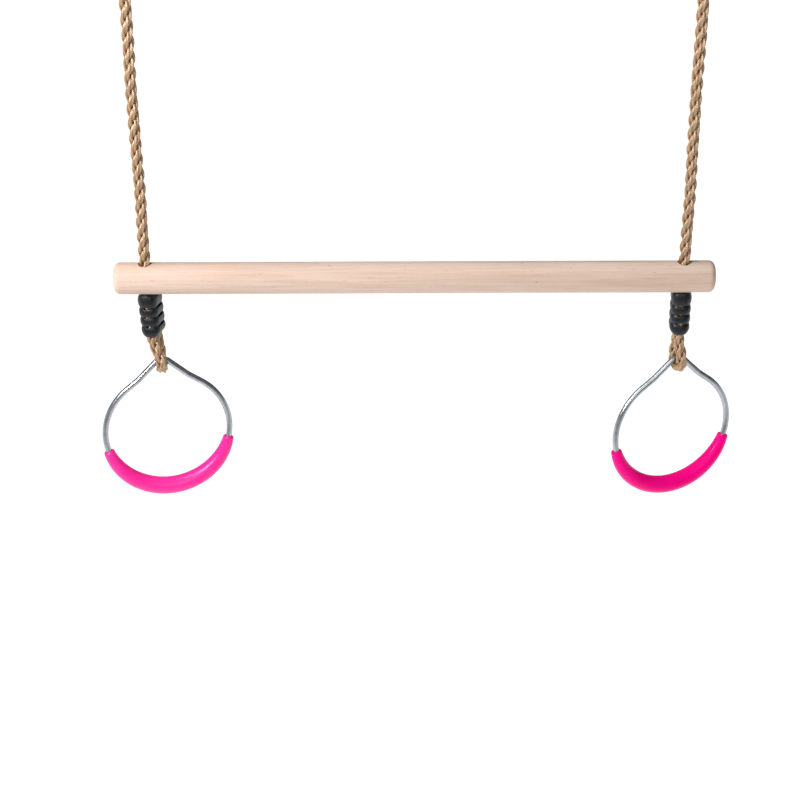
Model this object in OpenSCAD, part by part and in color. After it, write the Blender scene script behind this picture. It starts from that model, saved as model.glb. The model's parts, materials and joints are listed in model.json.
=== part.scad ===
/* [Bar] */
// Length of the wooden bar
bar_l = 600; // [560:10:700]
// Diameter of the wooden bar
bar_d = 32; // [28:1:38]
// Rounding of the bar's two end edges
bar_edge_r = 6; // [2:1:10]
// Diameter of the two holes that the ropes pass through
bar_hole_d = 14; // [13.5:0.5:16]

/* [Ropes] */
// Distance between the two ropes
rope_spacing = 538; // [500:2:560]
// Drop from the hanging point to the middle of the bar
bar_drop = 410; // [400:5:460]

/* [Binders] */
// Width of a binder, across its window face
binder_w = 19.8; // [19:0.2:22]
// Depth of a binder, across both legs of the rope
binder_d = 28; // [28:1:32]
// Height of a binder
binder_h = 45; // [44:0.5:46]

/* [Ring handles] */
// Diameter of the steel wire
wire_d = 6; // [5:0.5:6]
// Radius of the big bend, to the middle of the wire
ring_r = 65; // [60:1:75]
// Radius of the small bend at the top, to the middle of the wire
apex_r = 10; // [9:1:12]
// Distance from the top of the wire's middle line to the centre of the big bend
ring_drop = 82; // [80:1:95]
// Turn of the left ring about the vertical
left_ring_yaw = 14; // [0:1:25]
// Turn of the right ring about the vertical
right_ring_yaw = 20; // [0:1:25]
// Thickness of the grip in its middle
grip_d = 18.6; // [16:0.2:22]
// Thickness of the grip at its ends
grip_end_d = 11.6; // [10:0.2:14]
// Half of the grip's arc, counted from the lowest point
grip_half_angle = 76; // [60:1:85]

/* [Hanging rings] */
// Diameter of the hanging rings' wire
hanger_wire_d = 7; // [6:0.5:7]
// Inner diameter of the hanging rings
hanger_inner_d = 45; // [40:1:60]

/* [Hidden] */
$fn = 48;

wood = [0.90, 0.76, 0.66];
hemp = [0.69, 0.50, 0.31];
black = [0.10, 0.10, 0.12];
zinc = [0.66, 0.69, 0.72];
pink = [0.93, 0.10, 0.50];

// Gaps that parts on different bodies keep
binder_gap = 0.4;
rope_gap = 0.3;
left = -1;
right = 1;

// Cuts run this far past the faces they open
past = 1;

// Ropes: the two legs of a rope lie one behind the other inside a binder, which grips them
rope_d = 12;
rope_r = rope_d / 2;
leg_half = 6.5;
rope_y = -leg_half;
bore_play = 0.1;
bore_d = rope_d + bore_play;

// Hanging rings, whose inner top is the hanging point
hanger_r = (hanger_inner_d + hanger_wire_d) / 2;
hanger_z = -hanger_inner_d / 2;
eye_z = hanger_z - hanger_r;

// A loop reaches this far beyond its binder's mouth, to the middle of the wire in it
loop_reach = 30.6;
upper_mouth_z = eye_z - loop_reach;
lower_top_z = -bar_drop - bar_d / 2 - binder_gap;
apex_z = lower_top_z - binder_h - loop_reach;

// How the lower binders hang at rest. The left one leans, and lies lower so that it clears the bar.
left_binder_yaw = -14;
right_binder_yaw = -5;
left_binder_lean = 3;
left_binder_drop = 0.7;

// Binder: outline, wall openings, and the insets of its sides and of its front and back at each
// level, as [level, sides, front and back], from the mouth up
binder_corner_r = 8;
tail_h = binder_h - rope_r;
corner_steps = 5;
slot_levels = [11.4, 21.4, 31.4];
window_size = [6, 2.4];
window_cut = 4;
slot_size = [13, 3];
slot_depth = 3.2;
lobes = [
  [0, 3, 0.9], [1.2, 1.9, 0.6], [3, 0.8, 0.3], [5.6, 0.2, 0.1], [8.6, 0.1, 0.1], [11.4, 1, 1],
  [13.6, 0.2, 0.2], [16.4, 0, 0], [19.2, 0.2, 0.2], [21.4, 1, 1],
  [23.6, 0.2, 0.2], [26.4, 0, 0], [29.2, 0.2, 0.2], [31.4, 1, 1],
  [33.8, 0.2, 0.2], [37, 0, 0], [41, 0.2, 0.1], [43.4, 1, 0.4], [binder_h, 2.4, 1]
];

// Rope sweep: sides of a section, and the radius at each point of a loop. Its ends are rounded where
// it bends at the binder, and the wire squeezes its bend.
rope_sides = 12;
loop_radii = [2, 4.8, 6, 6, 5.8, 5.4, 5.4, 5.4, 5.4, 5.4, 5.4, 5.4, 5.8, 6, 6, 4.8, 2];

// Each shoulder of the wire is two straight lengths that meet at a soft corner. They leave the small
// bend a little steeper, and meet the big bend a little flatter, than the line that touches both.
tangent_a = acos((ring_r - apex_r) / (ring_drop - apex_r));
shoulder_steeper = 2.8;
ring_start_flatter = 4.2;
shoulder_a = tangent_a + shoulder_steeper;
ring_start_a = tangent_a - ring_start_flatter;
corner_bend_r = 25;
wire_sides = 16;
apex_steps = 8;
corner_bend_steps = 3;
ring_steps = 36;

// Grip sweep. The rim at each end is rounded off over its width.
grip_sides = 20;
grip_steps = 24;
grip_bore_d = wire_d + 0.7;
grip_rim = 2;
grip_rim_inset = 1;
grip_rim_r = grip_end_d / 2 - grip_rim_inset;
grip_swell = 2.3;

// A rope's long run, from the lower binder up into the upper one, as [sideways sway, share of the way]
long_run = [[0, 0], [0.3, 1 / 6], [0.6, 2 / 6], [0, 3 / 6], [-0.6, 4 / 6], [-0.3, 5 / 6], [0, 1]];
run_foot_z = lower_top_z + rope_gap;
run_top_z = upper_mouth_z - binder_h;

// Its eye round the hanging ring's wire, as [forward and back, height over the middle of the wire]
eye_run = [
  [-6.5, -35.5], [-6.5, -26.5], [-8, -16.5], [-9.7, -7.5],
  [-10.2, 0], [-8.8, 5.1], [-5.1, 8.8], [0, 10.2], [5.1, 8.8], [8.8, 5.1], [10.2, 0],
  [9.7, -7.5], [8, -16.5], [6.5, -26.5], [6.5, -35.5]
];

// Route of a rope's main line: up to the hanging ring, round it and back into the upper binder
main_route = concat(
  [for (p = long_run) [p[0], rope_y, run_foot_z + (run_top_z - run_foot_z) * p[1]]],
  [for (p = eye_run) [0, p[0], eye_z + p[1]]],
  [[0, leg_half, upper_mouth_z - tail_h]]
);

// Routes of the loops that hold the rings, counted from where the rope enters the binder's mouth
left_loop = [
  [0, 0, -0.7], [0.2, 0, -2.8], [0.5, 0, -6.3], [2.8, -0.8, -13.5], [5.7, -2.2, -22],
  [8.1, -3.2, -30], [7.9, -1.9, -34.8], [7.4, 1.7, -38.3], [6.7, 6.5, -39.6],
  [6.1, 11.3, -38.3], [5.6, 14.9, -34.8], [5.3, 16.2, -30],
  [4.8, 15.6, -22], [4, 14.2, -13.5], [3.5, 12.6, -6], [3.2, 12.6, -2.5], [3.1, 12.6, -0.5]
];
right_loop = [
  [0, 0, -0.7], [0, 0, -2.8], [0, 0, -6.3], [1.2, -0.8, -13.5], [2.8, -2, -22],
  [4.2, -2.8, -30.6], [3.9, -1.5, -35.4], [3.1, 1.8, -38.9], [2, 6.5, -40.2],
  [0.7, 11.2, -38.9], [-0.4, 14.6, -35.4], [-0.8, 15.8, -30.6],
  [-0.6, 15, -22], [0.3, 14, -13.5], [1.1, 13, -6.3], [1.1, 13, -2.8], [1.1, 13, -0.7]
];
left_apex_shift = 9.4;
right_apex_shift = 2;
left_ring_roll = 1;
right_ring_roll = -1;

function rope_x(side) = side * rope_spacing / 2;
function binder_yaw(side) = side < 0 ? left_binder_yaw : right_binder_yaw;
function binder_lean(side) = side < 0 ? left_binder_lean : 0;
function binder_top_z(side) = lower_top_z - (side < 0 ? left_binder_drop : 0);
function ring_yaw(side) = side < 0 ? left_ring_yaw : right_ring_yaw;
function ring_roll(side) = side < 0 ? left_ring_roll : right_ring_roll;
function apex_shift(side) = side < 0 ? left_apex_shift : right_apex_shift;
function loop_route(side) = side < 0 ? left_loop : right_loop;

// Sweeping a round section along points: the section's first corner points along across
function unit(v) = v / norm(v);
function tangent(path, i) = unit(path[min(i + 1, len(path) - 1)] - path[max(i - 1, 0)]);
function square_to(t, across) = unit(across - (across * t) * t);
function section(c, t, r, n, across) =
  let (u = square_to(t, across), v = cross(t, u))
  [for (k = [0:n - 1]) c + r * (cos(360 * k / n) * u + sin(360 * k / n) * v)];
function wall_faces(rings, n, first = 0) = [
  for (i = [0:rings - 2], k = [0:n - 1])
    let (a = first + i * n + k, b = first + i * n + (k + 1) % n)
    each [[a, a + n, b + n], [a, b + n, b]]
];
function flipped(faces) = [for (f = faces) [f[2], f[1], f[0]]];

module swept_tube(path, radii, n) {
  last = (len(path) - 1) * n;
  points = [
    for (i = [0:len(path) - 1]) each section(path[i], tangent(path, i), radii[i], n, [1, 0, 0])
  ];
  start_cap = [[for (k = [0:n - 1]) k]];
  end_cap = [[for (k = [n - 1:-1:0]) last + k]];
  polyhedron(points, concat(start_cap, wall_faces(len(path), n), end_cap));
}

// A rectangle with round corners, w by d, as points
function rounded_rect(w, d, r) = [
  for (q = [0:3], s = [0:corner_steps])
    let (a = 90 * q + 90 * s / corner_steps, sx = (q == 0 || q == 3) ? 1 : -1, sy = q < 2 ? 1 : -1)
    [sx * (w / 2 - r) + r * cos(a), sy * (d / 2 - r) + r * sin(a)]
];

// Outer form of a binder: its outline lofted through the lobes, with the mouth at z = 0
module binder_form() {
  n = 4 * (corner_steps + 1);
  points = [
    for (l = lobes, p = rounded_rect(binder_w - 2 * l[1], binder_d - 2 * l[2], binder_corner_r - l[1]))
      [p[0], p[1], l[0]]
  ];
  last = (len(lobes) - 1) * n;
  bottom = [[for (k = [0:n - 1]) k]];
  top = [[for (k = [n - 1:-1:0]) last + k]];
  polyhedron(points, concat(bottom, wall_faces(len(lobes), n), top));
}

module binder_openings() {
  for (level = slot_levels, side = [-1, 1]) {
    translate([0, side * binder_d / 2, level]) cube([window_size[0], window_cut, window_size[1]], center = true);
    translate([side * binder_w / 2, 0, level]) cube([2 * slot_depth, slot_size[0], slot_size[1]], center = true);
  }
}

// A binder with its mouth at z = 0 and its body above. The rope's front leg runs right through it,
// and the back leg ends tail_h up inside it.
module binder() {
  color(black)
    difference() {
      binder_form();
      translate([0, -leg_half, -past]) cylinder(d = bore_d, h = binder_h + 2 * past);
      translate([0, leg_half, -past]) cylinder(d = bore_d, h = tail_h + past);
      binder_openings();
    }
}

module upper_binder(side) {
  translate([rope_x(side), 0, upper_mouth_z]) mirror([0, 0, 1]) binder();
}

// Where a lower binder's mouth is, with the rope's front leg at the middle
module at_lower_mouth(side) {
  translate([rope_x(side), rope_y, binder_top_z(side)])
    rotate([0, -binder_lean(side), 0])
      rotate([0, 0, binder_yaw(side)])
        translate([0, 0, -binder_h]) children();
}

module lower_binder(side) {
  at_lower_mouth(side)
    translate([0, leg_half, 0]) binder();
}

module bound_rope(side) {
  color(hemp)
    at_lower_mouth(side) {
      cylinder(d = rope_d, h = binder_h);
      translate([0, 2 * leg_half, 0]) cylinder(d = rope_d, h = tail_h);
    }
}

module rope(side) {
  color(hemp)
    translate([rope_x(side), 0, 0])
      swept_tube(main_route, [for (p = main_route) rope_r], rope_sides);
}

module ring_loop(side) {
  lean = binder_lean(side);
  mouth = [rope_x(side) + binder_h * sin(lean), rope_y, binder_top_z(side) - binder_h * cos(lean)];
  color(hemp)
    translate(mouth)
      swept_tube(loop_route(side), loop_radii, rope_sides);
}

module hanging_ring(side) {
  color(zinc)
    translate([rope_x(side), 0, hanger_z])
      rotate([90, 0, 0])
        rotate_extrude() translate([hanger_r, 0]) circle(d = hanger_wire_d);
}

// Points of an arc in the XZ plane, about a centre below the top of the ring. Angles run from the
// top towards +X.
function arc_points(centre_drop, bend_r, from_a, to_a, steps) = [
  for (i = [0:steps])
    let (a = from_a + (to_a - from_a) * i / steps)
    [bend_r * sin(a), 0, -centre_drop + bend_r * cos(a)]
];

// The soft corner of the shoulder on the +X side. Its bend is hollow, so its centre lies outside.
function flat(a) = [cos(a), -sin(a)];
function outward(a) = [sin(a), cos(a)];
function corner_points() =
  let (
    start = apex_r * (outward(shoulder_a) - [0, 1]),
    end = ring_r * outward(ring_start_a) - [0, ring_drop],
    across = end - start,
    run = cross(across, flat(ring_start_a)) / cross(flat(shoulder_a), flat(ring_start_a)),
    trim = corner_bend_r * tan((shoulder_a - ring_start_a) / 2),
    centre = start + (run - trim) * flat(shoulder_a) + corner_bend_r * outward(shoulder_a)
  )
  [
    for (i = [0:corner_bend_steps])
      let (
        a = shoulder_a + (ring_start_a - shoulder_a) * i / corner_bend_steps,
        p = centre - corner_bend_r * outward(a)
      )
      [p[0], 0, p[1]]
  ];
function mirrored(points) = [for (i = [len(points) - 1:-1:0]) [-points[i][0], 0, points[i][2]]];
function ring_path() = concat(
  arc_points(apex_r, apex_r, -shoulder_a, shoulder_a, apex_steps),
  corner_points(),
  arc_points(ring_drop, ring_r, ring_start_a, 360 - ring_start_a, ring_steps),
  mirrored(corner_points())
);

// A closed loop of wire swept along points in the XZ plane
module closed_wire(path, d, n) {
  rings = len(path);
  points = [
    for (i = [0:rings - 1])
      let (along = unit(path[(i + 1) % rings] - path[(i + rings - 1) % rings]))
      each section(path[i], along, d / 2, n, [0, 1, 0])
  ];
  faces = [
    for (i = [0:rings - 1], k = [0:n - 1])
      let (j = (i + 1) % rings, m = (k + 1) % n)
      each [[i * n + k, j * n + k, j * n + m], [i * n + k, j * n + m, i * n + m]]
  ];
  polyhedron(points, faces);
}

module at_ring(side) {
  translate([rope_x(side) + apex_shift(side), 0, apex_z])
    rotate([0, 0, ring_yaw(side)])
      rotate([0, -ring_roll(side), 0]) children();
}

module ring_wire(side) {
  color(zinc)
    at_ring(side)
      closed_wire(ring_path(), wire_d, wire_sides);
}

// The grip's outer radius at u, which goes from -1 at one end to 1 at the other
function grip_r(u) = (grip_d - (grip_d - grip_end_d) * pow(abs(u), grip_swell)) / 2;
function grip_point(a, r, k) =
  let (c = 360 * k / grip_sides, reach = ring_r + r * cos(c))
  [reach * sin(a), r * sin(c), -ring_drop - reach * cos(a)];

module ring_grip(side) {
  n = grip_sides;
  rim_a = grip_rim / ring_r * 180 / PI;
  inner = [for (i = [0:grip_steps]) (2 * i / grip_steps - 1)];
  outer_rings = concat(
    [[-grip_half_angle, grip_rim_r]],
    [for (u = inner) [u * (grip_half_angle - rim_a), grip_r(u)]],
    [[grip_half_angle, grip_rim_r]]
  );
  bore_rings = [for (u = inner) [u * grip_half_angle, grip_bore_d / 2]];
  points = [for (g = concat(outer_rings, bore_rings), k = [0:n - 1]) grip_point(g[0], g[1], k)];
  outs = len(outer_rings);
  ins = len(bore_rings);
  bore_first = outs * n;
  outer_last = (outs - 1) * n;
  bore_last = bore_first + (ins - 1) * n;
  near_rim = [
    for (k = [0:n - 1]) let (m = (k + 1) % n)
      each [[k, m, bore_first + m], [k, bore_first + m, bore_first + k]]
  ];
  far_rim = [
    for (k = [0:n - 1]) let (m = (k + 1) % n)
      each [[outer_last + k, bore_last + m, outer_last + m], [outer_last + k, bore_last + k, bore_last + m]]
  ];
  color(pink)
    at_ring(side)
      polyhedron(
        points,
        concat(wall_faces(outs, n), flipped(wall_faces(ins, n, bore_first)), near_rim, far_rim)
      );
}

// Half of the bar's lengthwise section, with the bar's axis along Y
module bar_half_section() {
  translate([0, -bar_l / 2]) square([bar_d / 2 - bar_edge_r, bar_l]);
  translate([0, -bar_l / 2 + bar_edge_r]) square([bar_d / 2, bar_l - 2 * bar_edge_r]);
  for (end = [-1, 1])
    translate([bar_d / 2 - bar_edge_r, end * (bar_l / 2 - bar_edge_r)]) circle(r = bar_edge_r);
}

module trapeze_bar() {
  color(wood)
    translate([0, rope_y, -bar_drop])
      difference() {
        rotate([0, 90, 0]) rotate_extrude() bar_half_section();
        for (side = [left, right])
          translate([rope_x(side), 0, -bar_d]) cylinder(d = bar_hole_d, h = 2 * bar_d);
      }
}

hanging_ring(left);  // hanging_ring_left
hanging_ring(right);  // hanging_ring_right
upper_binder(left);  // upper_binder_left
upper_binder(right);  // upper_binder_right
rope(left);  // rope_left
rope(right);  // rope_right
trapeze_bar();
lower_binder(left);  // lower_binder_left
lower_binder(right);  // lower_binder_right
bound_rope(left);  // bound_rope_left
bound_rope(right);  // bound_rope_right
ring_loop(left);  // ring_loop_left
ring_loop(right);  // ring_loop_right
ring_wire(left);  // ring_wire_left
ring_wire(right);  // ring_wire_right
ring_grip(left);  // ring_grip_left
ring_grip(right);  // ring_grip_right
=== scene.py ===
"""Looks for the trapeze bar with two ring handles: camera, ropes, binders, rings, grips, bar, light."""

import json
import math

import bpy
import numpy as np
from mathutils import Matrix, Vector


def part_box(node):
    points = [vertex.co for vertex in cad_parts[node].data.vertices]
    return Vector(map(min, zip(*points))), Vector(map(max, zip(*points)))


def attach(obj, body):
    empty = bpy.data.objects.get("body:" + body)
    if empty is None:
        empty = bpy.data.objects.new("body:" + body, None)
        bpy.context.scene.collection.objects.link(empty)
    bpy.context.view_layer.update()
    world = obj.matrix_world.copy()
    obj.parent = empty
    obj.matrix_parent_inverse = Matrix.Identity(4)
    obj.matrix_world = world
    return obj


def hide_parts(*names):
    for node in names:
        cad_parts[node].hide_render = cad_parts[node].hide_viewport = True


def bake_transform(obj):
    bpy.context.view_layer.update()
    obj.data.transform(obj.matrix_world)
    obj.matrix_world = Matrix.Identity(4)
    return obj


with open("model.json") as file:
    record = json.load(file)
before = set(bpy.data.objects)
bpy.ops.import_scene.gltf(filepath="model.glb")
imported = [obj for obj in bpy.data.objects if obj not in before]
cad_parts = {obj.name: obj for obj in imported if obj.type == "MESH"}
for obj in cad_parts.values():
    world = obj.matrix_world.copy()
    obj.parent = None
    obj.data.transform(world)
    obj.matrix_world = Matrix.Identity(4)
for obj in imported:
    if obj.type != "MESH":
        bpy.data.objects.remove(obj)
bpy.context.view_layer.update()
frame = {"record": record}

MM = 0.001
SIDES = (("left", -1), ("right", 1))
JOINT = {j["name"]: j for j in frame["record"]["behaviour"]["joints"]}

# Places, all from the frame
BAR_LO, BAR_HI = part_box("trapeze_bar")
BAR_MID = (BAR_LO + BAR_HI) / 2
BAR_L, BAR_D = (BAR_HI.x - BAR_LO.x) / MM, (BAR_HI.z - BAR_LO.z) / MM
ROPE_X, ROPE_Y, _ = JOINT["rope_twist_right"]["pos_m"]
LEG_HALF = -ROPE_Y
UPPER_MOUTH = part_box("upper_binder_left")[1].z
UPPER_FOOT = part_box("upper_binder_left")[0].z
BINDER_H = (UPPER_MOUTH - UPPER_FOOT) / MM
HANGER_LO, HANGER_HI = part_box("hanging_ring_left")
HANGER_WIRE_D = (HANGER_HI.y - HANGER_LO.y) / MM
HANGER_INNER_D = (HANGER_HI.z - HANGER_LO.z) / MM - 2 * HANGER_WIRE_D

# Each lower binder: where the rope enters its top, which way it points, and where its mouth is
BINDER_TOP, BINDER_DOWN, BINDER_BACK, BINDER_MOUTH = {}, {}, {}, {}
for side, _ in SIDES:
    twist, lean = JOINT[f"rope_twist_{side}"], JOINT[f"loop_lean_{side}"]
    BINDER_TOP[side] = Vector(twist["pos_m"])
    BINDER_DOWN[side] = (Vector(lean["pos_m"]) - BINDER_TOP[side]).normalized()
    BINDER_BACK[side] = Vector(lean["axis"]).normalized()
    BINDER_MOUTH[side] = BINDER_TOP[side] + BINDER_H * MM * BINDER_DOWN[side]


# ------------------------------------------------------------------ camera

FOCAL_MM = 76.5
SENSOR_MM = 36.0
CAMERA_BACK = 1.5838
CAMERA_UP = 0.6336
CAMERA_LEFT = 0.0148
CAMERA_DOWN_DEG = 25.93
CAMERA_ROLL_DEG = 0.2


def make_camera():
    data = bpy.data.cameras.new("camera")
    data.lens, data.sensor_width = FOCAL_MM, SENSOR_MM
    camera = bpy.data.objects.new("camera", data)
    bpy.context.scene.collection.objects.link(camera)
    camera.location = BAR_MID + Vector((-CAMERA_LEFT, -CAMERA_BACK, CAMERA_UP))
    tilt = Matrix.Rotation(math.radians(90 - CAMERA_DOWN_DEG), 4, "X")
    roll = Matrix.Rotation(math.radians(-CAMERA_ROLL_DEG), 4, "Z")
    camera.rotation_euler = (tilt @ roll).to_euler()
    bpy.context.scene.camera = camera


make_camera()


# ------------------------------------------------------------------ node materials

def new_material(name):
    """A new node material, its node tree and its shader."""
    material = bpy.data.materials.new(name)
    material.use_nodes = True
    tree = material.node_tree
    return material, tree, tree.nodes["Principled BSDF"]


def linear(red, green, blue):
    """A screen colour of 0 to 255 as linear light, by the sRGB curve."""
    shares = (red / 255, green / 255, blue / 255)
    return (*(c / 12.92 if c <= 0.04045 else ((c + 0.055) / 1.055) ** 2.4 for c in shares), 1.0)


def grey(value):
    return (value, value, value, 1.0)


def feed(tree, socket, value):
    """Sets a socket to a plain number or colour, or links another node's output to it."""
    if isinstance(value, (int, float, tuple)):
        socket.default_value = value
    else:
        tree.links.new(value, socket)


def ramp(tree, factor, *stops):
    """A colour ramp, each stop given as (place, colour)."""
    made = tree.nodes.new("ShaderNodeValToRGB")
    elements = made.color_ramp.elements
    while len(elements) < len(stops):
        elements.new(0.5)
    for element, (place, colour) in zip(elements, stops):
        element.position = place
        element.color = colour
    tree.links.new(factor, made.inputs["Fac"])
    return made.outputs["Color"]


def scaled(tree, vector, factors):
    made = tree.nodes.new("ShaderNodeMapping")
    made.inputs["Scale"].default_value = factors
    tree.links.new(vector, made.inputs["Vector"])
    return made.outputs["Vector"]


def noise(tree, vector, scale, detail, roughness, distortion=0.0):
    made = tree.nodes.new("ShaderNodeTexNoise")
    made.inputs["Scale"].default_value = scale
    made.inputs["Detail"].default_value = detail
    made.inputs["Roughness"].default_value = roughness
    made.inputs["Distortion"].default_value = distortion
    tree.links.new(vector, made.inputs["Vector"])
    return made.outputs["Fac"]


# A colour Mix node's sockets share their names with its number and vector sockets, so they go by place
MIX_FACTOR, MIX_A, MIX_B, MIX_RESULT = 0, 6, 7, 2


def mix_colour(tree, factor, a, b, blend_type="MIX"):
    made = tree.nodes.new("ShaderNodeMix")
    made.data_type, made.blend_type = "RGBA", blend_type
    for place, value in ((MIX_FACTOR, factor), (MIX_A, a), (MIX_B, b)):
        feed(tree, made.inputs[place], value)
    return made.outputs[MIX_RESULT]


def math_node(tree, operation, *values):
    made = tree.nodes.new("ShaderNodeMath")
    made.operation = operation
    for socket, value in zip(made.inputs, values):
        feed(tree, socket, value)
    return made.outputs[0]


def bump(tree, height, strength, distance):
    made = tree.nodes.new("ShaderNodeBump")
    made.inputs["Strength"].default_value = strength
    made.inputs["Distance"].default_value = distance
    tree.links.new(height, made.inputs["Height"])
    return made.outputs["Normal"]


def object_place(tree):
    return tree.nodes.new("ShaderNodeTexCoord").outputs["Object"]


def split_axes(tree, vector):
    made = tree.nodes.new("ShaderNodeSeparateXYZ")
    tree.links.new(vector, made.inputs[0])
    return made.outputs


def fill_shader(tree, shader, **values):
    """Feeds the shader's sockets, each named in lower case with _ for a space."""
    for name, value in values.items():
        socket = next(i for i in shader.inputs if i.name.lower().replace(" ", "_") == name)
        feed(tree, socket, value)


# ------------------------------------------------------------------ the materials

ROPE_BUMP = (0.06, 0.00016)
WOOD_BUMP = (0.25, 0.0004)
BINDER_BUMP = (0.12, 0.0002)
ZINC_BUMP = (0.02, 0.0001)
GRIP_BUMP = (0.05, 0.0002)


def rope_colour(tree, fibre, fine, depth):
    """Fibre-streaked, redder in patches, and with painted shade where depth is low, in the grooves
    between the strands and plies.
    """
    body = ramp(tree, fibre, (0.28, linear(140, 96, 52)), (0.44, linear(166, 120, 68)),
                (0.58, linear(184, 140, 86)), (0.76, linear(208, 174, 116)))
    streaks = ramp(tree, fine, (0.3, linear(138, 92, 52)), (0.7, linear(220, 190, 140)))
    streaked = mix_colour(tree, 0.18, body, streaks)
    patch = noise(tree, object_place(tree), 90.0, 3.0, 0.5)
    in_patch = ramp(tree, patch, (0.35, grey(0.0)), (0.7, grey(0.35)))
    toned = mix_colour(tree, in_patch, streaked, linear(172, 116, 76))
    # Painted shade: the colour darkens towards a deep red-brown where depth is low, in the grooves.
    groove_painted_shade = ramp(tree, depth, (0.50, grey(0.9)), (0.84, grey(0.0)))
    return mix_colour(tree, groove_painted_shade, toned, linear(146, 82, 54))


def rope_material():
    """Twisted hemp-coloured fibre. The mesh attribute strand holds (round the yarn, along, depth); low
    depth gets painted shade.
    The UV map lay gives the direction round a strand, so that its shine stretches along that."""
    material, tree, shader = new_material("hemp_rope")
    attribute = tree.nodes.new("ShaderNodeAttribute")
    attribute.attribute_name = "strand"
    place = attribute.outputs["Vector"]
    fibre = noise(tree, scaled(tree, place, (3.2, 0.16, 0)), 1.0, 5.0, 0.62)
    fine = noise(tree, scaled(tree, place, (9.0, 0.5, 0)), 1.0, 3.0, 0.6)
    height = math_node(tree, "ADD", math_node(tree, "MULTIPLY", fibre, 0.7),
                       math_node(tree, "MULTIPLY", fine, 0.3))
    across = tree.nodes.new("ShaderNodeTangent")
    across.direction_type, across.uv_map = "UV_MAP", "lay"
    fill_shader(tree, shader,
                base_color=rope_colour(tree, fibre, fine, split_axes(tree, place)["Z"]),
                roughness=ramp(tree, fine, (0.2, grey(0.50)), (0.8, grey(0.60))),
                normal=bump(tree, height, *ROPE_BUMP), tangent=across.outputs["Tangent"],
                anisotropic=0.8, ior=2.4, specular_ior_level=1.0, specular_tint=linear(255, 244, 220))
    return material


def wood_material():
    """Pale sanded beech: long growth bands, fine streaks and short dark rays, along the bar."""
    material, tree, shader = new_material("beech")
    place = object_place(tree)
    bands = noise(tree, scaled(tree, place, (2.2, 70, 70)), 1.0, 3.0, 0.55, 0.6)
    streaks = noise(tree, scaled(tree, place, (14, 420, 420)), 1.0, 4.0, 0.6)
    rays = noise(tree, scaled(tree, place, (160, 1100, 1100)), 1.0, 2.0, 0.5)
    base = ramp(tree, bands, (0.25, linear(220, 187, 167)), (0.5, linear(232, 203, 185)),
                (0.75, linear(241, 217, 201)))
    lines = ramp(tree, streaks, (0.3, linear(204, 168, 144)), (0.62, linear(246, 226, 210)))
    flecks = ramp(tree, rays, (0.66, grey(0.0)), (0.74, grey(0.45)))
    height = math_node(tree, "ADD", streaks, math_node(tree, "MULTIPLY", rays, -0.6))
    fill_shader(tree, shader,
                base_color=mix_colour(tree, flecks, mix_colour(tree, 0.28, base, lines),
                                      linear(170, 122, 92)),
                roughness=ramp(tree, streaks, (0.2, grey(0.48)), (0.8, grey(0.62))),
                normal=bump(tree, height, *WOOD_BUMP), specular_ior_level=0.35)
    return material


def binder_material():
    """Black plastic with a fine grain and a cloudy shine."""
    material, tree, shader = new_material("black_plastic")
    place = object_place(tree)
    grain = noise(tree, place, 2600.0, 3.0, 0.6)
    cloud = noise(tree, place, 120.0, 4.0, 0.6)
    fill_shader(tree, shader,
                base_color=ramp(tree, cloud, (0.3, linear(8, 12, 17)), (0.7, linear(14, 19, 27))),
                roughness=ramp(tree, cloud, (0.3, grey(0.34)), (0.7, grey(0.44))),
                normal=bump(tree, grain, *BINDER_BUMP), specular_ior_level=0.5)
    return material


def zinc_material():
    """Bright zinc plating with faint cloudy patches, darker where it is seen edge on."""
    material, tree, shader = new_material("zinc_wire")
    place = object_place(tree)
    cloud = noise(tree, place, 160.0, 5.0, 0.6)
    grain = noise(tree, place, 1400.0, 2.0, 0.5)
    fill_shader(tree, shader,
                base_color=ramp(tree, cloud, (0.3, linear(174, 183, 188)), (0.7, linear(202, 210, 214))),
                roughness=ramp(tree, cloud, (0.3, grey(0.24)), (0.75, grey(0.31))),
                normal=bump(tree, grain, *ZINC_BUMP), metallic=1.0, specular_tint=linear(120, 124, 128))
    return material


def grip_material(name, dark, light, gloss, gloss_tint):
    """Neon pink plastic, with a faint painted glow of its own colour that lifts its shaded side."""
    material, tree, shader = new_material(name)
    place = object_place(tree)
    cloud = noise(tree, place, 45.0, 3.0, 0.5)
    grain = noise(tree, place, 1800.0, 2.0, 0.5)
    pink = ramp(tree, cloud, (0.3, linear(*dark)), (0.7, linear(*light)))
    # Painted light: the pink also feeds a weak emission that brightens the grip where it is in shade.
    fill_shader(tree, shader, base_color=pink, emission_color=pink, emission_strength=0.2,
                roughness=ramp(tree, cloud, (0.3, grey(0.26)), (0.7, grey(0.36))),
                normal=bump(tree, grain, *GRIP_BUMP),
                specular_ior_level=gloss, specular_tint=linear(*gloss_tint))
    return material


ROPE, WOOD, BLACK, ZINC = rope_material(), wood_material(), binder_material(), zinc_material()
# Lit and shaded copies of one pink plastic: the left is paler and glossier as painted light, the right
# deeper with a weaker, pinker gloss as painted shade.
PINK = {
    "left": grip_material("pink_plastic_pale", (250, 34, 148), (255, 48, 158), 0.5, (255, 240, 248)),
    "right": grip_material("pink_plastic_deep", (250, 2, 128), (255, 6, 138), 0.25, (255, 150, 205)),
}


# ------------------------------------------------------------------ mesh helpers

def link_mesh(name, points, faces, material, smooth=True):
    mesh = bpy.data.meshes.new(name)
    mesh.from_pydata([tuple(p) for p in points], [], [tuple(f) for f in faces])
    mesh.update()
    if smooth:
        mesh.polygons.foreach_set("use_smooth", [True] * len(mesh.polygons))
    mesh.materials.append(material)
    made = bpy.data.objects.new(name, mesh)
    bpy.context.scene.collection.objects.link(made)
    return made


def unit_rows(v):
    return v / np.linalg.norm(v, axis=-1, keepdims=True)


CURVE_SAMPLES = 24  # between two points of a route


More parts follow.
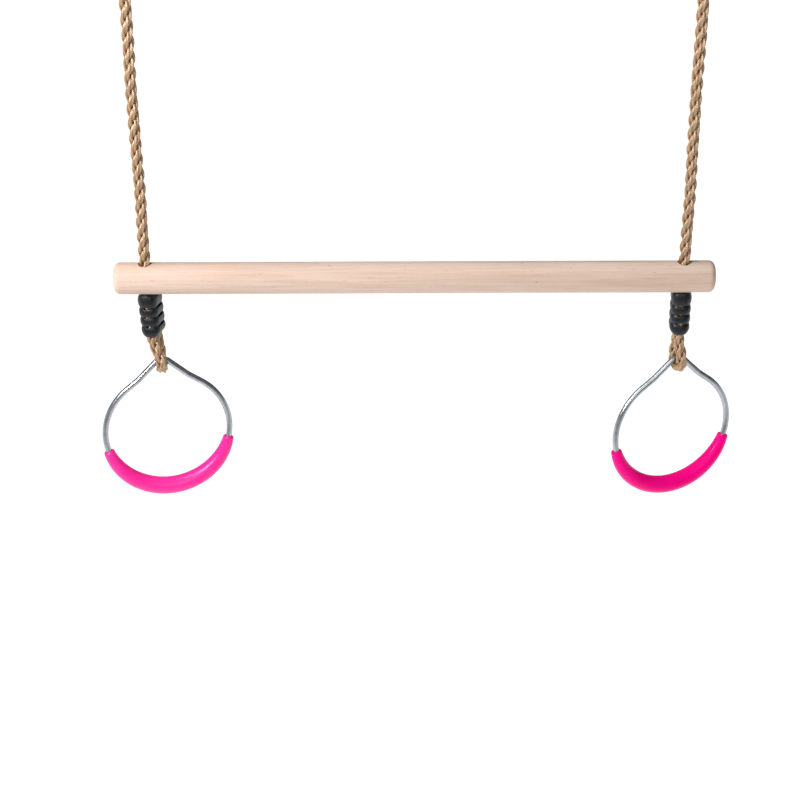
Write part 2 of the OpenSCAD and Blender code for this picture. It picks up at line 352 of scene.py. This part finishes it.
def smooth_path(points, step):
    """The points joined by one Catmull-Rom curve: evenly spaced points about step apart, and how
    far along it each one is."""
    p = np.array(points, float)
    p = np.vstack([2 * p[0] - p[1], p, 2 * p[-1] - p[-2]])
    t = np.concatenate([[0], np.cumsum(np.sqrt(np.linalg.norm(np.diff(p, axis=0), axis=1)))])
    fine = []
    for i in range(1, len(p) - 2):
        t0, t1, t2, t3 = t[i - 1 : i + 3]
        for q in np.linspace(t1, t2, CURVE_SAMPLES, endpoint=False):
            a1 = (t1 - q) / (t1 - t0) * p[i - 1] + (q - t0) / (t1 - t0) * p[i]
            a2 = (t2 - q) / (t2 - t1) * p[i] + (q - t1) / (t2 - t1) * p[i + 1]
            a3 = (t3 - q) / (t3 - t2) * p[i + 1] + (q - t2) / (t3 - t2) * p[i + 2]
            b1 = (t2 - q) / (t2 - t0) * a1 + (q - t0) / (t2 - t0) * a2
            b2 = (t3 - q) / (t3 - t1) * a2 + (q - t1) / (t3 - t1) * a3
            fine.append((t2 - q) / (t2 - t1) * b1 + (q - t1) / (t2 - t1) * b2)
    fine = np.vstack([fine, p[-2]])
    along = np.concatenate([[0], np.cumsum(np.linalg.norm(np.diff(fine, axis=0), axis=1))])
    count = max(2, int(round(along[-1] / step)) + 1)
    even = np.linspace(0, along[-1], count)
    return np.stack([np.interp(even, along, fine[:, k]) for k in range(3)], axis=1), even


def carried_sides(path):
    """Two side directions at each point, carried along without twist from nearest X at the start."""
    tangents = unit_rows(np.gradient(path, axis=0))
    first = np.array((1.0, 0.0, 0.0))
    side = first - np.dot(first, tangents[0]) * tangents[0]
    side /= np.linalg.norm(side)
    sides = [side]
    for t in tangents[1:]:
        side = side - np.dot(side, t) * t
        side /= np.linalg.norm(side)
        sides.append(side)
    sides = np.array(sides)
    return sides, np.cross(tangents, sides)


def tube_faces(rings, n, first=0, closed=False):
    """Faces over rings of n points each: closed on itself, or else with a cap at either end."""
    faces = []
    for i in range(rings if closed else rings - 1):
        j = (i + 1) % rings
        for k in range(n):
            m = (k + 1) % n
            faces.append((first + i * n + k, first + i * n + m, first + j * n + m, first + j * n + k))
    if not closed:
        faces.append(tuple(first + k for k in reversed(range(n))))
        faces.append(tuple(first + (rings - 1) * n + k for k in range(n)))
    return faces


# ------------------------------------------------------------------ ropes

ROPE_D = 12.0
STRANDS = 3
PLIES = 3
STRAND_OUT = 3.1  # of a strand's middle from the rope's
PLY_OUT = 1.47  # of a ply's middle from its strand's
PLY_R = 1.43
PLY_SIDES = 12
LAY_MM = 43.0  # along the rope for one turn of its strands
PLY_LAY_MM = 19.5  # and of their plies
PLY_SHIFT = 1.3  # turn of the plies from one strand to the next
WANDER_MM = 0.12  # how much looser and tighter a strand lies along the rope
WANDER_LENGTH = 17.0
WANDER_SHIFT = 2.1
STEP_MM = 0.9
# How each rope is pressed where it is bound: how far that reaches, and the rope's size there along
# its first side direction, which starts out nearest X, and along its second
LOOP_PINCH = (22.0, 1.08, 0.90)
BINDER_PINCH = (9.0, 0.92, 0.92)
# The turn of the strands at the rope's start, on the left and on the right
ROPE_PHASE = {"left": 0.4, "right": 2.0}
LOOP_PHASE = {"left": 2.6, "right": 0.9}
# The strand attribute: fibres round the yarn per radian, and apart from strand to strand; the largest
# depth, and the share of it that the grooves between the plies don't take away. Low depth gets painted
# shade in the rope's colour.
FIBRES_ROUND = 2.9
FIBRES_APART = 40.0
DEPTH_MOST = 1.1
DEPTH_IN_GROOVE = 0.72

# Route of a rope's long run and of its eye, in millimetres, as in the CAD: sideways, forward and
# back, height. Each rope's lower end is added to it.
MAIN_ROUTE = [
    (0.3, -6.5, -376), (0.6, -6.5, -326), (0, -6.5, -276), (-0.6, -6.5, -226), (-0.3, -6.5, -176),
    (0, -6.5, -126), (0, -6.5, -84),
    (0, -6.5, -75), (0, -8, -65), (0, -9.7, -56),
    (0, -10.2, -48.5), (0, -8.8, -43.4), (0, -5.1, -39.7), (0, 0, -38.3),
    (0, 5.1, -39.7), (0, 8.8, -43.4), (0, 10.2, -48.5),
    (0, 9.7, -56), (0, 8, -65), (0, 6.5, -75),
    (0, 6.5, -84), (0, 6.5, -118),
]
# Routes of the loops that hold the rings, counted from where the rope enters the binder's mouth
LOOP_ROUTES = {
    "left": [
        (0.5, 0, -6.3), (2.8, -0.8, -13.5), (5.7, -2.2, -22),
        (8.1, -3.2, -30), (7.9, -1.9, -34.8), (7.4, 1.7, -38.3), (6.7, 6.5, -39.6),
        (6.1, 11.3, -38.3), (5.6, 14.9, -34.8), (5.3, 16.2, -30),
        (4.8, 15.6, -22), (4, 14.2, -13.5), (3.5, 12.6, -6),
    ],
    "right": [
        (0, 0, -6.3), (1.2, -0.8, -13.5), (2.8, -2, -22),
        (4.2, -2.8, -30.6), (3.9, -1.5, -35.4), (3.1, 1.8, -38.9), (2, 6.5, -40.2),
        (0.7, 11.2, -38.9), (-0.4, 14.6, -35.4), (-0.8, 15.8, -30.6),
        (-0.6, 15, -22), (0.3, 14, -13.5), (1.1, 13, -6.3),
    ],
}
# How far above its mouth a binder hides the seam between the two lengths of rope, and how far up
# the loop's other end reaches
SEAM_MM = 29.3
TAIL_END_MM = 34
# Where the routes have further points in the binder: below its top, above its mouth, and just there
BELOW_TOP_MM = 6
ABOVE_MOUTH_MM = 12
AT_MOUTH_MM = 0.7


def strand_shape():
    """Outline of one strand of round plies, as angle and radius, with its corners in the grooves."""
    half = math.pi / PLIES
    off = np.linspace(-half, half, PLY_SIDES, endpoint=False)
    angle = (2 * half * np.arange(PLIES)[:, None] + off[None, :]).ravel()
    near = np.tile(off, PLIES)
    radius = PLY_OUT * np.cos(near) + np.sqrt(PLY_R ** 2 - (PLY_OUT * np.sin(near)) ** 2)
    return angle, radius


def lay_corners(rings, n):
    """A place (round the strand, along it) for each corner of each face that tube_faces makes."""
    places = []
    for i in range(rings - 1):
        for k in range(n):
            places += [(k / n, i / rings), ((k + 1) / n, i / rings),
                       ((k + 1) / n, (i + 1) / rings), (k / n, (i + 1) / rings)]
    return places + [(k / n, 0.0) for k in reversed(range(n))] + [(k / n, 1.0) for k in range(n)]


def press_sizes(path, at, pinch):
    """The rope's size along its two side directions, pressed round the point at as pinch says."""
    reach, first_there, second_there = pinch
    press = np.clip(1 - np.linalg.norm(path - at, axis=1) / reach, 0, 1)
    press = press * press * (3 - 2 * press)
    return (1 + (first_there - 1) * press)[:, None], (1 + (second_there - 1) * press)[:, None]


def strand_rings(path, along, out, strand, phase, outline):
    """One strand's rings of points. It lies the way out says, and its plies turn against its lay."""
    angle, radius = outline
    wander = WANDER_MM * np.sin(along / WANDER_LENGTH + WANDER_SHIFT * strand + phase)
    centre = path + (STRAND_OUT + wander)[:, None] * out
    heading = unit_rows(np.gradient(centre, axis=0))
    inward = unit_rows(-(out - np.sum(out * heading, axis=1, keepdims=True) * heading))
    across = np.cross(heading, inward)
    turned = angle[None, :] - (2 * math.pi * along / PLY_LAY_MM)[:, None] + PLY_SHIFT * strand
    return (
        centre[:, None, :]
        + (radius * np.cos(turned))[..., None] * inward[:, None, :]
        + (radius * np.sin(turned))[..., None] * across[:, None, :]
    )


def strand_places(rings, path, along, strand, outline):
    """What the material reads at each point of a strand: round the yarn, along it, and depth, which it
    turns into painted shade where low.
    """
    angle, radius = outline
    groove = (radius - radius.min()) / (radius.max() - radius.min())
    depth = np.linalg.norm(rings - path[:, None, :], axis=2) / (ROPE_D / 2)
    return np.stack([
        np.repeat((angle * FIBRES_ROUND + FIBRES_APART * strand)[None, :], len(path), axis=0),
        np.repeat(along[:, None], len(angle), axis=1),
        np.clip(depth, 0, DEPTH_MOST) * (DEPTH_IN_GROOVE + (1 - DEPTH_IN_GROOVE) * groove[None, :]),
    ], axis=2)


def laid_rope(name, route_mm, phase, pressed_at, pinch):
    """Three strands laid right-handed round the route, each of three plies twisted the other way.
    Gives the rope, the points along its middle and its length, both in metres."""
    path, along = smooth_path(route_mm, STEP_MM)
    first_side, second_side = carried_sides(path)
    first_size, second_size = press_sizes(path, pressed_at, pinch)
    outline = strand_shape()
    sides = len(outline[0])
    points, faces, places, lay = [], [], [], []
    for strand in range(STRANDS):
        turn = phase + 2 * math.pi * (along / LAY_MM + strand / STRANDS)
        out = (np.cos(turn)[:, None] * first_side * first_size
               + np.sin(turn)[:, None] * second_side * second_size)
        rings = strand_rings(path, along, out, strand, phase, outline)
        faces += tube_faces(len(path), sides, strand * len(path) * sides)
        points.append(rings.reshape(-1, 3))
        places.append(strand_places(rings, path, along, strand, outline).reshape(-1, 3))
        lay += lay_corners(len(path), sides)
    made = link_mesh(name, np.vstack(points) * MM, faces, ROPE)
    layer = made.data.attributes.new("strand", "FLOAT_VECTOR", "POINT")
    layer.data.foreach_set("vector", np.vstack(places).astype(np.float32).ravel())
    made.data.uv_layers.new(name="lay").data.foreach_set("uv", np.array(lay, np.float32).ravel())
    return made, path * MM, along[-1] * MM


def make_main_rope(side, sign):
    """From inside the lower binder, up through the bar, round the hanging ring and back down."""
    top, top_mm = BINDER_TOP[side], np.array(BINDER_TOP[side]) / MM
    down = np.array(BINDER_DOWN[side])
    shift = np.array([sign * ROPE_X / MM, 0, 0])
    route = [top_mm + down * (BINDER_H - SEAM_MM), top_mm + down * BELOW_TOP_MM, top_mm]
    route += [shift + np.array(p) for p in MAIN_ROUTE]
    rope, path, length = laid_rope(f"rope_{side}_strands", route, ROPE_PHASE[side],
                                   top_mm, BINDER_PINCH)
    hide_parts(f"rope_{side}")
    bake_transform(rope)


def make_loop(side):
    """From inside the lower binder, down round the ring's wire and back up into the binder."""
    mouth, mouth_mm = BINDER_MOUTH[side], np.array(BINDER_MOUTH[side]) / MM
    up = -np.array(BINDER_DOWN[side])
    back_mm = mouth_mm + np.array(BINDER_BACK[side]) * 2 * LEG_HALF / MM
    turns = [mouth_mm + np.array(p) for p in LOOP_ROUTES[side]]
    route = [mouth_mm + up * SEAM_MM, mouth_mm + up * ABOVE_MOUTH_MM, mouth_mm + up * AT_MOUTH_MM]
    route += turns
    route += [back_mm - up * AT_MOUTH_MM, back_mm + up * ABOVE_MOUTH_MM, back_mm + up * TAIL_END_MM]
    loop, path, length = laid_rope(f"loop_{side}_strands", route, LOOP_PHASE[side],
                                   turns[len(turns) // 2], LOOP_PINCH)
    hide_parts(f"ring_loop_{side}", f"bound_rope_{side}")
    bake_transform(loop)


for side, sign in SIDES:
    make_main_rope(side, sign)
    make_loop(side)


# ------------------------------------------------------------------ solids from rings of points

SHARP_DEG = 38


def cut(target, cutters):
    """The target with the cutters' forms taken out of it, as one clean mesh."""
    for cutter in cutters:
        step = target.modifiers.new("cut", "BOOLEAN")
        step.operation, step.solver, step.object = "DIFFERENCE", "EXACT", cutter
    bpy.context.view_layer.update()
    seen = target.evaluated_get(bpy.context.evaluated_depsgraph_get())
    mesh = bpy.data.meshes.new_from_object(seen)
    target.modifiers.clear()
    target.data = mesh
    for cutter in cutters:
        bpy.data.objects.remove(cutter, do_unlink=True)
    mesh.polygons.foreach_set("use_smooth", [True] * len(mesh.polygons))
    mesh.set_sharp_from_angle(angle=math.radians(SHARP_DEG))


def lathe(name, profile, material, sides):
    """A profile of (radius, height) turned about Z, capped at both ends."""
    turn = 2 * np.pi * np.arange(sides) / sides
    points = [(r * math.cos(a), r * math.sin(a), z) for r, z in profile for a in turn]
    return link_mesh(name, points, tube_faces(len(profile), sides), material)


def rod(name, place, radius, z0, z1):
    made = lathe(name, [(radius, z0), (radius, z1)], BLACK, sides=48)
    made.location = place
    return made


def signed_power(value, power):
    return math.copysign(abs(value) ** power, value)


def blob(name, place, half, power, levels=14, sides=40):
    """A closed superellipsoid with the half sizes given, for cutting soft openings."""
    points = []
    for i in range(1, levels):
        lat = math.pi * (i / levels - 0.5)
        z = signed_power(math.sin(lat), 2 / power) * half[2]
        r = math.cos(lat) ** (2 / power)
        for k in range(sides):
            a = 2 * math.pi * k / sides
            x, y = signed_power(math.cos(a), 2 / power), signed_power(math.sin(a), 2 / power)
            points.append((half[0] * r * x, half[1] * r * y, z))
    made = link_mesh(name, points, tube_faces(levels - 1, sides), BLACK)
    made.location = place
    return made


# ------------------------------------------------------------------ binders

BINDER_W = 19.8
BINDER_D = 28.0
CORNER_R = 8.0
LEAST_CORNER_R = 2.0
CORNER_POINTS = 14
GROOVES = (11.4, 21.4, 31.4)
GROOVE_HALF = 0.9
LOBE_OUT = 0.3  # how far the rings between the grooves stand out past the plain block
MOUTH_ROUND = 7.5
TOP_ROUND = 5.0
RIM_R = 0.5
# Heights of the outline's sections from either end of the binder, and the step between the rest
END_HEIGHTS = (0, 0.08, 0.2, 0.35, 0.5)
FIRST_HEIGHT, LAST_HEIGHT, HEIGHT_STEP = 0.9, 0.6, 0.45
# How far each rounding stands the outline in: at the sides, and in front and behind
BULGE_IN = (1.0, 1.3)
GROOVE_IN = (0.4, 0.3)
MOUTH_IN = (2.6, 0.1)
TOP_IN = (1.8, 0.0)
RIM_IN = (1.0, 0.5)
# Openings in each groove, as half sizes: rope windows in front and behind, and slots at the sides
WINDOW_HALF, WINDOW_POWER = (3.8, 2.7, 1.45), 2.0
SLOT_HALF, SLOT_POWER = (3.3, 6.4, 1.5), 3.4
# The rope's bore from the mouth, narrower in the neck, and the shorter bore of its other leg
BORE_D = 12.2
NECK_D = 11.3
NECK_H = 4.0
TAIL_H = 39.0
BORE_PAST_MOUTH = 2
BORE_PAST_TOP = 4
# A low collar of the same black plastic stands round the rope, inside the bar's hole, as radius and
# height. It darkens the shaded gap under the bar as painted shade, where the rope would otherwise show.
SHADE_COLLAR = [(6.65, 0.0), (6.6, 1.1), (6.5, 1.35), (6.2, 1.5)]
COLLAR_SHARE = 0.98  # of each quarter turn, so that no two of its points meet


def binder_insets(h):
    """How far the sides, and the front and back, stand in at height h over the mouth."""
    edges = (0, *GROOVES, BINDER_H)
    low, high = next((a, b) for a, b in zip(edges, edges[1:]) if h <= b)
    bulge = ((2 * h - low - high) / (high - low)) ** 2
    groove = max(math.exp(-((h - level) / GROOVE_HALF) ** 2) for level in GROOVES)
    mouth = max(0.0, 1 - h / MOUTH_ROUND) ** 2
    top = max(0.0, 1 - (BINDER_H - h) / TOP_ROUND) ** 2.2
    lip = max(0.0, 1 - min(h, BINDER_H - h) / RIM_R)
    rim = RIM_R * (1 - math.sqrt(1 - lip ** 2))
    return [
        BULGE_IN[k] * bulge + GROOVE_IN[k] * groove + MOUTH_IN[k] * mouth + TOP_IN[k] * top
        + RIM_IN[k] * rim - LOBE_OUT
        for k in range(2)
    ]


def binder_section(h):
    """Points of the binder's outline at height h, one round corner after another."""
    side_in, front_in = binder_insets(h)
    half_w, half_d = BINDER_W / 2 - side_in, BINDER_D / 2 - front_in
    r = max(LEAST_CORNER_R, CORNER_R - side_in)
    points = []
    for q, (sx, sy) in enumerate(((1, 1), (-1, 1), (-1, -1), (1, -1))):
        for a in math.pi / 2 * (q + np.linspace(0, 1, CORNER_POINTS)):
            points.append((sx * (half_w - r) + r * math.cos(a), sy * (half_d - r) + r * math.sin(a), h))
    return points


def shade_collar_section(radius, h):
    """A circle round the rope's leg, with its points in step with the outline's."""
    points = []
    for q in range(4):
        for a in math.pi / 2 * (q + np.linspace(0, 1, CORNER_POINTS) * COLLAR_SHARE):
            points.append((radius * math.cos(a), radius * math.sin(a) - LEG_HALF / MM, h))
    return points


def binder_block(name):
    """The binder's outer form with its collar of painted shade, mouth down at height 0."""
    heights = [*END_HEIGHTS, *np.arange(FIRST_HEIGHT, BINDER_H - LAST_HEIGHT, HEIGHT_STEP),
               *(BINDER_H - h for h in reversed(END_HEIGHTS))]
    sections = [binder_section(float(h)) for h in heights]
    sections += [shade_collar_section(r, BINDER_H + up) for r, up in SHADE_COLLAR]
    points = [p for section in sections for p in section]
    return link_mesh(name, points, tube_faces(len(sections), 4 * CORNER_POINTS), BLACK)


def binder_openings():
    """What is cut from the block: bores for both legs of the rope, windows and slots."""
    leg = LEG_HALF / MM
    bores = ((-leg, BORE_D, BINDER_H - NECK_H), (-leg, NECK_D, BINDER_H + BORE_PAST_TOP),
             (leg, BORE_D, TAIL_H))
    cutters = [rod("bore", (0, y, 0), size / 2, -BORE_PAST_MOUTH, reach) for y, size, reach in bores]
    for level in GROOVES:
        for way in (-1, 1):
            cutters.append(blob("window", (0, way * BINDER_D / 2, level), WINDOW_HALF, WINDOW_POWER))
            cutters.append(blob("slot", (way * BINDER_W / 2, 0, level), SLOT_HALF, SLOT_POWER))
    return cutters


def make_binder(node, place, body):
    made = binder_block(f"{node}_moulding")
    cut(made, binder_openings())
    made.data.transform(place @ Matrix.Scale(MM, 4))
    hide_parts(node)
    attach(made, body)


for side, sign in SIDES:
    down, back = BINDER_DOWN[side], BINDER_BACK[side]
    turned = Matrix((back.cross(-down), back, -down)).transposed().to_4x4()
    middle = BINDER_MOUTH[side] + LEG_HALF * back
    make_binder(f"lower_binder_{side}", Matrix.Translation(middle) @ turned, f"clamp_{side}")
    upside_down = Matrix.Rotation(math.pi, 4, "Y")
    make_binder(f"upper_binder_{side}",
                Matrix.Translation((sign * ROPE_X, 0, UPPER_MOUTH)) @ upside_down, "ropes")


# ------------------------------------------------------------------ ring handles

RING_R = 65.0  # of the round lower part, along the wire's middle
RING_DROP = 82.0  # of its centre below the top bend's middle line
APEX_R = 10.0  # of the top bend
SHOULDER_DEG = 43.0  # slope of the wire beside the top bend
BIG_BEND_DEG = 36.0  # slope of the wire where the round part begins
CORNER_BEND_R = 25.0  # of the bend between those two slopes
WIRE_D = 6.0
WIRE_SIDES = 24
GRIP_D = 18.6
GRIP_END_D = 11.6
GRIP_HALF_DEG = 76.0
GRIP_SWELL = 2.3  # power by which the grip thins towards its ends
GRIP_RIM = 2.0
GRIP_RIM_IN = 1.4
GRIP_SIDES = 48
GRIP_SHARP_DEG = 50
GRIP_PLAY = 0.05  # between the grip's bore and the wire


def along_slope(a):
    return np.array([math.cos(a), -math.sin(a)])


def outward(a):
    return np.array([math.sin(a), math.cos(a)])


def ring_line():
    """Middle line of half of the wire, from the top down the +X side, as rows of (x, z)."""
    steep, flat = math.radians(SHOULDER_DEG), math.radians(BIG_BEND_DEG)
    apex = [APEX_R * (outward(a) - (0, 1)) for a in np.linspace(0, steep, 14)]
    bend = [RING_R * outward(a) - (0, RING_DROP) for a in np.linspace(flat, math.pi, 90)]
    start, end = apex[-1], bend[0]
    across, dir_a, dir_b = end - start, along_slope(steep), along_slope(flat)
    run = (across[0] * dir_b[1] - across[1] * dir_b[0]) / (dir_a[0] * dir_b[1] - dir_a[1] * dir_b[0])
    trim = CORNER_BEND_R * math.tan((steep - flat) / 2)
    centre = start + (run - trim) * dir_a + CORNER_BEND_R * outward(steep)
    corner = [centre - CORNER_BEND_R * outward(a) for a in np.linspace(steep, flat, 5)]
    upper = [start + t * (corner[0] - start) for t in np.linspace(0, 1, 12)[1:-1]]
    lower = [corner[-1] + t * (end - corner[-1]) for t in np.linspace(0, 1, 8)[1:-1]]
    return np.array(apex + upper + corner + lower + bend)


def make_wire(node, place, body):
    half = ring_line()
    line = np.array([(x, 0, z) for x, z in half] + [(-x, 0, z) for x, z in half[-2:0:-1]])
    ahead = unit_rows(np.roll(line, -1, axis=0) - np.roll(line, 1, axis=0))
    u = np.array([0.0, 1.0, 0.0])
    points = []
    for centre, t in zip(line, ahead):
        w = np.cross(t, u)
        for k in range(WIRE_SIDES):
            a = 2 * math.pi * k / WIRE_SIDES
            points.append(centre + WIRE_D / 2 * (math.cos(a) * u + math.sin(a) * w))
    made = link_mesh(f"{node}_drawn", points, tube_faces(len(line), WIRE_SIDES, closed=True), ZINC)
    made.data.transform(place @ Matrix.Scale(MM, 4))
    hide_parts(node)
    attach(made, body)


def grip_radius(u):
    """Radius at the share u of the way from the grip's middle to its end."""
    return (GRIP_D - (GRIP_D - GRIP_END_D) * abs(u) ** GRIP_SWELL) / 2


def grip_profile():
    """Radius along the grip, as (share of the way from the middle, radius), with round rims."""
    rim = GRIP_RIM / RING_R / math.radians(GRIP_HALF_DEG)
    inner = [(u, grip_radius(u / (1 - rim))) for u in np.linspace(-(1 - rim), 1 - rim, 121)]
    edge = []
    for a in np.linspace(0, math.pi / 2, 7)[1:]:
        edge.append((1 - rim + rim * math.sin(a), GRIP_END_D / 2 - GRIP_RIM_IN * (1 - math.cos(a))))
    return [(-u, r) for u, r in reversed(edge)] + inner + edge


def make_grip(node, place, body, material):
    rings = grip_profile() + [(u, WIRE_D / 2 + GRIP_PLAY) for u in np.linspace(1, -1, 60)]
    points = []
    for u, r in rings:
        a = u * math.radians(GRIP_HALF_DEG)
        for k in range(GRIP_SIDES):
            c = 2 * math.pi * k / GRIP_SIDES
            reach = RING_R + r * math.cos(c)
            points.append((reach * math.sin(a), r * math.sin(c), -RING_DROP - reach * math.cos(a)))
    faces = tube_faces(len(rings), GRIP_SIDES, closed=True)
    made = link_mesh(f"{node}_moulding", points, faces, material)
    made.data.transform(place @ Matrix.Scale(MM, 4))
    made.data.set_sharp_from_angle(angle=math.radians(GRIP_SHARP_DEG))
    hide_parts(node)
    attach(made, body)


for side, _ in SIDES:
    joint = JOINT[f"ring_swing_{side}"]
    x_axis = Vector(joint["axis"]).normalized()
    y_axis = Vector((0, 0, 1)).cross(x_axis).normalized()
    turned = Matrix((x_axis, y_axis, x_axis.cross(y_axis))).transposed().to_4x4()
    place = Matrix.Translation(joint["pos_m"]) @ turned
    make_wire(f"ring_wire_{side}", place, f"handle_{side}")
    make_grip(f"ring_grip_{side}", place, f"handle_{side}", PINK[side])


# ------------------------------------------------------------------ bar and hanging rings

BAR_EDGE_R = 6.0
BAR_HOLE_D = 14.0
BAR_END_RADII = (0.02, 5.0)  # circles on its flat ends
BAR_SIDES = 96
HOLE_PAST_BAR = 2
HANGER_RINGS, HANGER_SIDES = 120, 28
HANGER_WELD_IN = 0.08  # a slight nick where the ring's weld was dressed


def make_bar():
    radius, half = BAR_D / 2, BAR_L / 2
    straight = half - BAR_EDGE_R
    end = [(r, half) for r in BAR_END_RADII]
    end += [(radius - BAR_EDGE_R + BAR_EDGE_R * math.cos(a), straight + BAR_EDGE_R * math.sin(a))
            for a in np.linspace(math.pi / 2, 0, 12)]
    run = [(radius, z) for z in np.linspace(straight, -straight, 90)[1:-1]]
    profile = [(r, -z) for r, z in end] + list(reversed(run)) + list(reversed(end))
    made = lathe("trapeze_bar_turned", profile, WOOD, BAR_SIDES)
    made.data.transform(Matrix.Rotation(math.pi / 2, 4, "Y"))
    past = radius + HOLE_PAST_BAR
    cut(made, [rod("hole", (sign * ROPE_X / MM, 0, 0), BAR_HOLE_D / 2, -past, past) for sign in (-1, 1)])
    made.data.transform(Matrix.Translation(BAR_MID) @ Matrix.Scale(MM, 4))
    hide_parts("trapeze_bar")
    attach(made, "bar")


def make_hanging_ring(side, sign):
    wire_r, ring_r = HANGER_WIRE_D / 2, (HANGER_INNER_D + HANGER_WIRE_D) / 2
    points = []
    for i in range(HANGER_RINGS):
        a = 2 * math.pi * i / HANGER_RINGS
        r = wire_r if i else wire_r - HANGER_WELD_IN
        for k in range(HANGER_SIDES):
            c = 2 * math.pi * k / HANGER_SIDES
            reach = ring_r + r * math.cos(c)
            points.append((reach * math.cos(a), r * math.sin(c), reach * math.sin(a)))
    faces = tube_faces(HANGER_RINGS, HANGER_SIDES, closed=True)
    made = link_mesh(f"hanging_ring_{side}_steel", points, faces, ZINC)
    place = Matrix.Translation((sign * ROPE_X, 0, -HANGER_INNER_D / 2 * MM))
    made.data.transform(place @ Matrix.Scale(MM, 4))
    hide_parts(f"hanging_ring_{side}")
    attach(made, "hangers")


make_bar()
for side, sign in SIDES:
    make_hanging_ring(side, sign)


# ------------------------------------------------------------------ floor and light

FLOOR_Z = -1.6
FLOOR_HALF = 40
# The floor glows of its own, as painted light: evenly white behind the object, and less and less towards
# its front
FLOOR_GLOW = 0.90
FRONT_GLOW = 0.15
GLOW_FRONT_Y, GLOW_BACK_Y = -2.6, 0.6


def rising(tree, value, low, high):
    """The value as a share of the way from low to high."""
    return math_node(tree, "MULTIPLY_ADD", value, 1 / (high - low), -low / (high - low))


def floor_material():
    material, tree, shader = new_material("pale_floor")
    place = object_place(tree)
    # Painted light: the floor's emission, strong behind the object and weak in front of it.
    share = rising(tree, split_axes(tree, place)["Y"], GLOW_FRONT_Y, GLOW_BACK_Y)
    glow = ramp(tree, share, (0.0, grey(FRONT_GLOW)), (1.0, grey(FLOOR_GLOW)))
    glow.node.color_ramp.interpolation = "EASE"
    cloud = noise(tree, place, 3.0, 2.0, 0.5)
    fill_shader(tree, shader, base_color=ramp(tree, cloud, (0.3, grey(0.75)), (0.7, grey(0.76))),
                emission_color=glow, emission_strength=1.0, roughness=0.9, specular_ior_level=0.1)
    return material


def make_floor():
    half = FLOOR_HALF
    corners = [(x, y, FLOOR_Z) for x, y in ((-half, -half), (half, -half), (half, half), (-half, half))]
    floor = link_mesh("floor", corners, [(0, 1, 2, 3)], floor_material(), smooth=False)


def make_sky():
    """Pale round the horizon and below it, dark overhead and to the right, for metal to mirror."""
    world = bpy.data.worlds.new("studio")
    world.use_nodes = True
    tree = world.node_tree
    axes = split_axes(tree, tree.nodes.new("ShaderNodeTexCoord").outputs["Generated"])
    sky = ramp(tree, rising(tree, axes["Z"], -1, 1),
               (0.44, grey(0.9)), (0.51, grey(0.26)), (0.85, grey(0.20)), (1.0, grey(0.38)))
    sides = ramp(tree, rising(tree, axes["X"], -1, 1), (0.35, grey(1.0)), (0.75, grey(0.35)))
    feed(tree, tree.nodes["Background"].inputs["Color"], mix_colour(tree, 1.0, sky, sides, "MULTIPLY"))
    bpy.context.scene.world = world


LIT_PLACE = Vector((-0.1, 0, -0.42))
# Square lamps that face the lit place: where each stands, its side in metres and its watts
LAMPS = {
    "key": ((-1.0, -0.9, 0.3), 0.42, 16),
    "panel": ((-0.8, -0.3, 1.0), 0.7, 7.5),
    "fill": ((0.1, -2.0, 0.5), 1.2, 7.8),
}


def make_lamp(name, place, size, power):
    data = bpy.data.lights.new(name, "AREA")
    data.size, data.energy = size, power
    lamp = bpy.data.objects.new(name, data)
    bpy.context.scene.collection.objects.link(lamp)
    lamp.location = place
    lamp.rotation_euler = (LIT_PLACE - Vector(place)).to_track_quat("-Z", "Y").to_euler()


make_floor()
make_sky()
for name, lamp in LAMPS.items():
    make_lamp(name, *lamp)
bpy.context.scene.view_settings.view_transform = "Standard"
